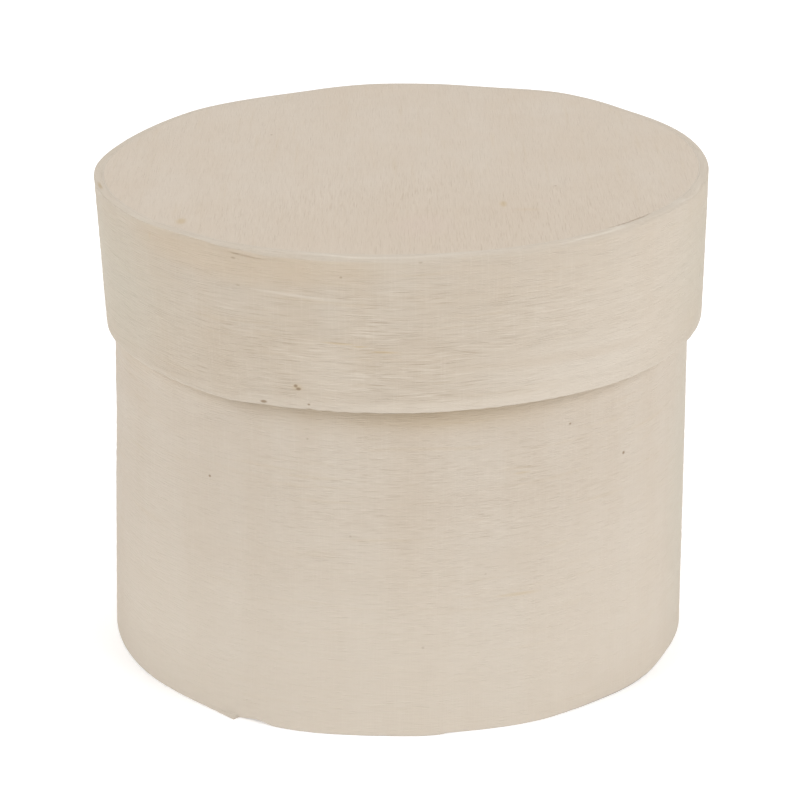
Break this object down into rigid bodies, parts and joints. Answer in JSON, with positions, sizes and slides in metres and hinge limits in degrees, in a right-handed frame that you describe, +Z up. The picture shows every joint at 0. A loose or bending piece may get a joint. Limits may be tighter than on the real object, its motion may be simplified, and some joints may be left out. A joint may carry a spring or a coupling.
{
  "type": "round chip-wood box",
  "caption": "Round chip-wood cheese box: a deep base of bent veneer on a wooden floor, closed by a lift-off cap lid that fits over its mouth.",
  "frame": {"origin": "centre of the foot, on the surface that the box stands on", "axes": "+Z up along the box's axis, +X to the right in the picture's view, the glued laps at the back, towards +Y"},
  "size_m": [0.0846, 0.0846, 0.0675],
  "materials": {
    "veneer": "bare sanded poplar veneer",
    "disc_wood": "bare sanded poplar",
    "glue": "dried wood glue"
  },
  "bodies": {
    "base": {"base_hoop": "veneer", "base_disc": "disc_wood", "base_lap_glue": "glue", "base_disc_glue": "glue"},
    "lid": {"lid_hoop": "veneer", "lid_disc": "disc_wood", "lid_lap_glue": "glue", "lid_disc_glue": "glue"}
  },
  "joints": [
    {"name": "lid_lift", "type": "slide", "parent": "base", "child": "lid", "axis": [0, 0, 1], "range_m": [0, 0.06]}
  ]
}
